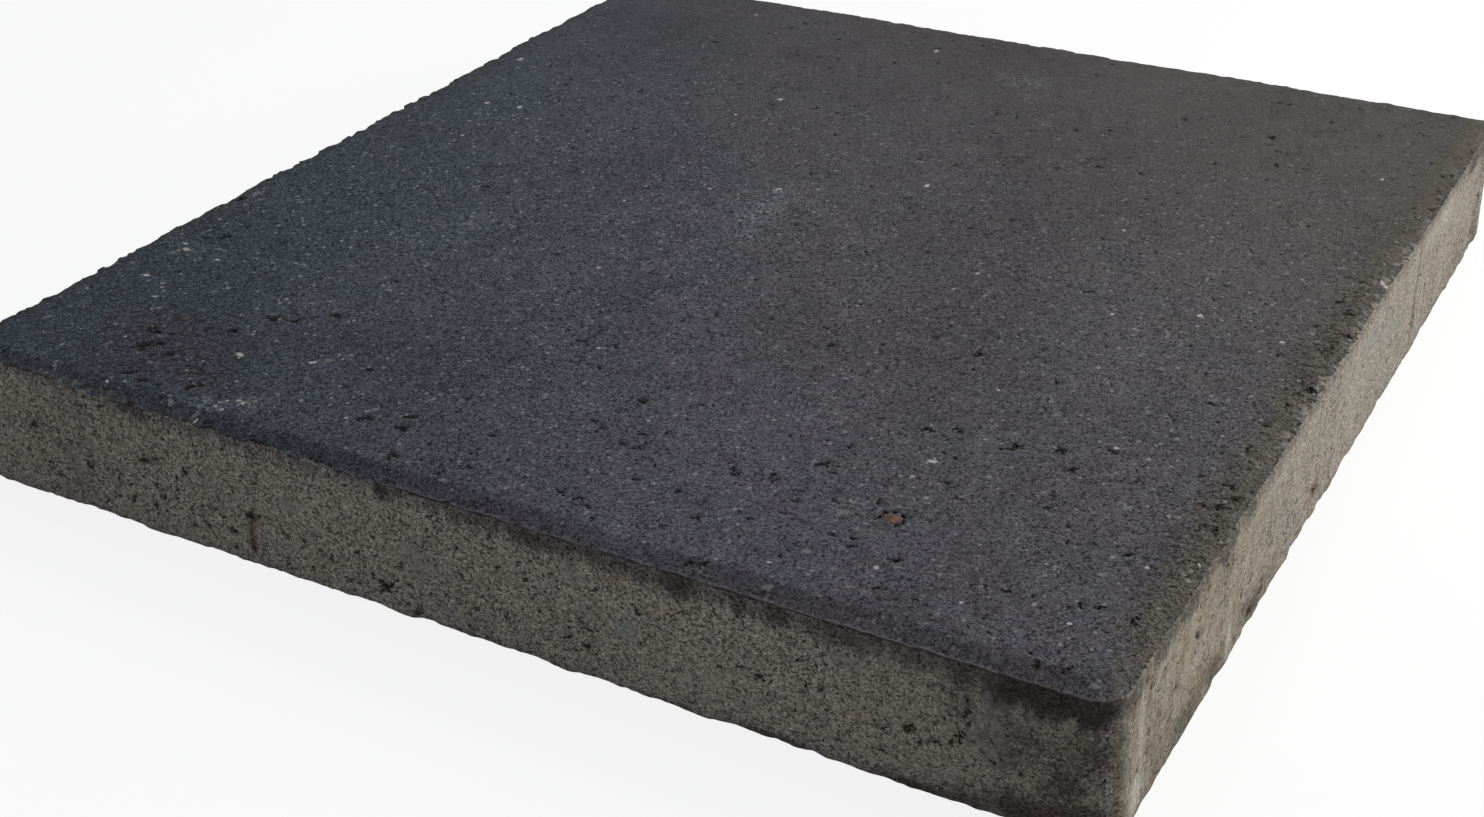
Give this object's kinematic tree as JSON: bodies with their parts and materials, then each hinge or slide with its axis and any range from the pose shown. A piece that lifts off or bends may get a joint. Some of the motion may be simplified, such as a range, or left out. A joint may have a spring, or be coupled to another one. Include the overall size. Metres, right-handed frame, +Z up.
{
  "type": "concrete paving slab",
  "caption": "Square pressed concrete paving slab with a dark facing layer, a grey backing, rounded upright corners and a bevelled top arris; lies flat as paving for paths and terraces.",
  "frame": {"origin": "centre of the bed face, the underside that the slab lies on", "axes": "+Z up through the slab's thickness to the wearing face, +X along the front side to the right, +Y from the front side to the back side"},
  "size_m": [0.5, 0.5, 0.06],
  "materials": {
    "facing_mix": "matt anthracite pressed concrete, fine and gritty, with open pores",
    "backing_mix": "matt grey-brown pressed concrete, coarse, with pores and vertical drag marks"
  },
  "bodies": {
    "root": {"facing_layer": "facing_mix", "backing_layer": "backing_mix"}
  },
  "joints": []
}
